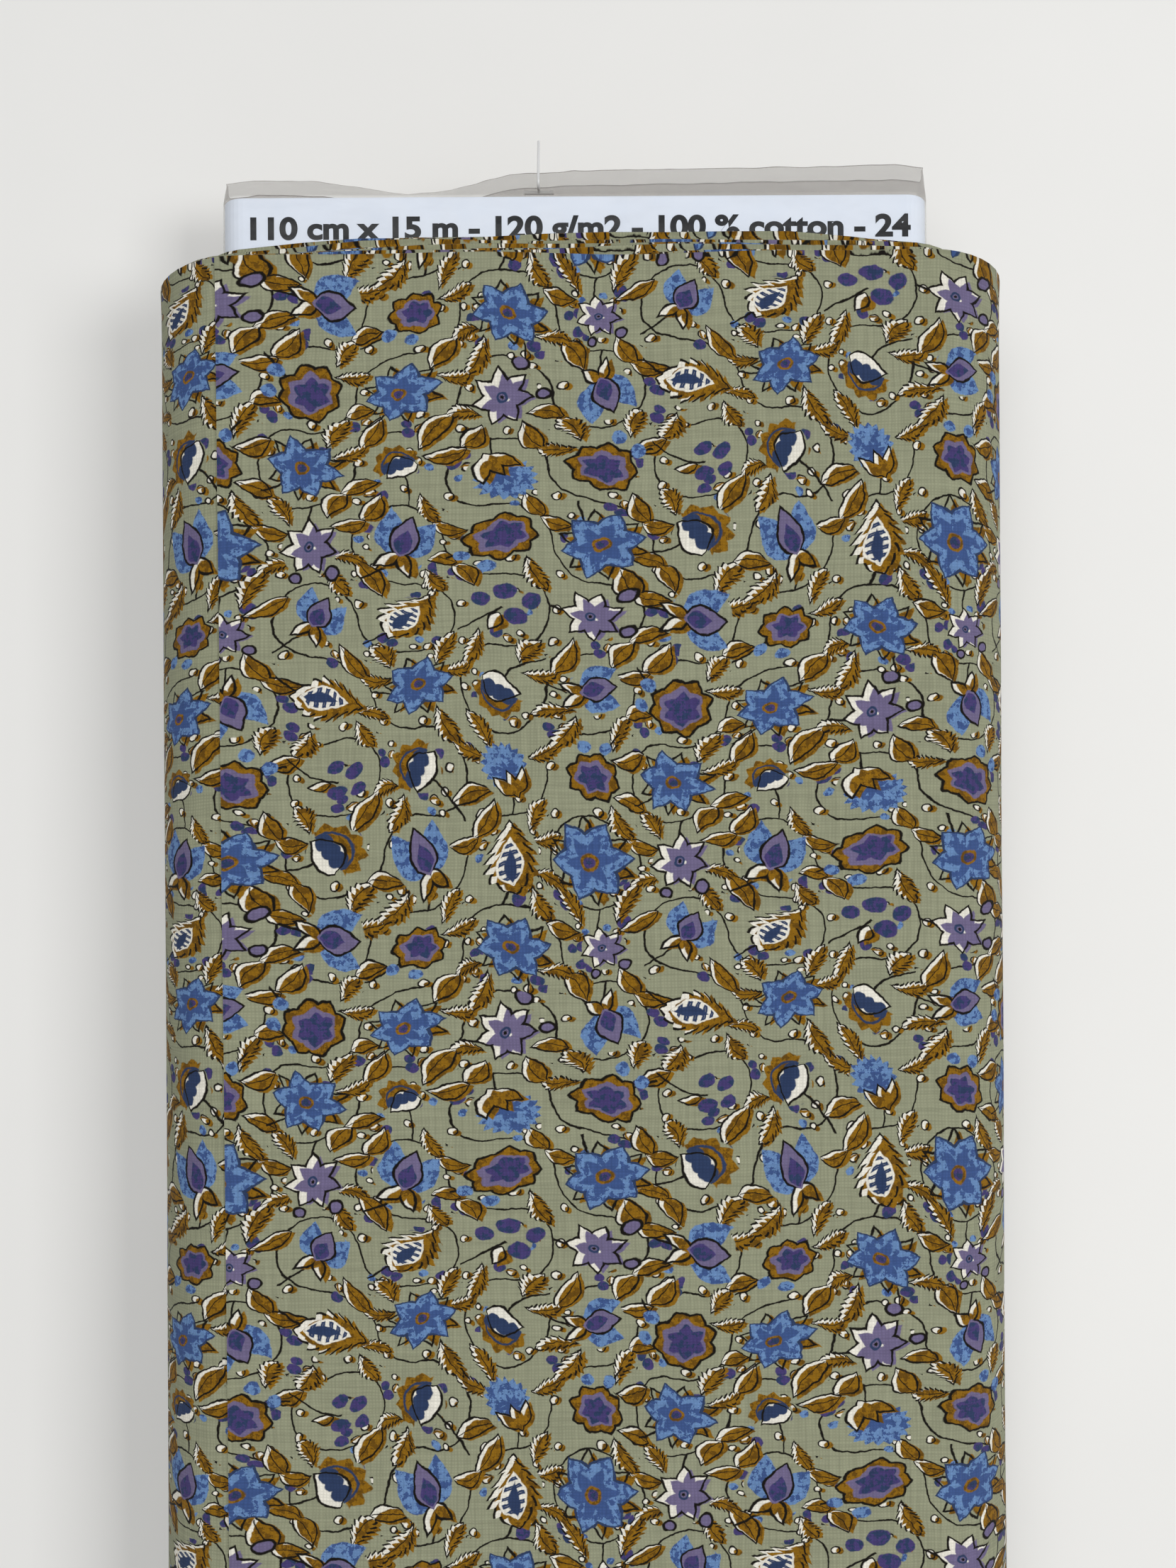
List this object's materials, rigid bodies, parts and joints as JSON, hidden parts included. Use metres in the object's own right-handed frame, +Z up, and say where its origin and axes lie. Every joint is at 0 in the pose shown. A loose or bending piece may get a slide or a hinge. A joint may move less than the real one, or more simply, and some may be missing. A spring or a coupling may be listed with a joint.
{
  "type": "fabric bolt",
  "caption": "Flat bolt of doubled cotton cloth wound round a board, with stepped fold edges, a loose end that lifts, a label band, a clear film sleeve and a tag pin.",
  "frame": {"origin": "centre of the bolt's box, on the plane of its back, which it lies on", "axes": "+X across the bolt to the right of its front, +Y along it towards the label and the cloth's fold edges, +Z up out of its front"},
  "size_m": [0.226, 0.6142, 0.058],
  "materials": {
    "corrugated_board": "unbleached corrugated board, matte",
    "kraft_paper": "smooth kraft paper, matte",
    "label_paper": "white office paper, smooth",
    "clear_film": "clear crinkled film, glossy",
    "clear_nylon": "clear moulded nylon",
    "printed_cotton": "plain-weave cotton with an all-over floral print, matte"
  },
  "bodies": {
    "roll": {"winding_1": "printed_cotton", "winding_2": "printed_cotton", "winding_3": "printed_cotton", "winding_4": "printed_cotton", "winding_5": "printed_cotton"},
    "core": {"core_back_panel": "corrugated_board", "core_middle_panel": "corrugated_board", "core_front_panel": "corrugated_board", "core_wrap": "kraft_paper", "label_band": "label_paper", "film_sleeve": "clear_film", "tag_pin": "clear_nylon"},
    "loose_inner": {"loose_end_inner": "printed_cotton"},
    "loose_outer": {"loose_end_outer": "printed_cotton"}
  },
  "joints": [
    {"name": "board_pull", "type": "slide", "parent": "roll", "child": "core", "axis": [0, 1, 0], "range_m": [0, 0.58]},
    {"name": "loose_end_lift", "type": "hinge", "parent": "roll", "child": "loose_inner", "pos_m": [0.09015, 0, 0.058], "axis": [0, 1, 0], "range_deg": [0, 178]},
    {"name": "loose_end_drop", "type": "hinge", "parent": "loose_inner", "child": "loose_outer", "pos_m": [0, 0, 0.058], "axis": [0, 1, 0], "range_deg": [0, 40]}
  ],
  "couplings": [
    {"joint": "loose_end_drop", "follows": "loose_end_lift", "ratio": 0.2247}
  ]
}
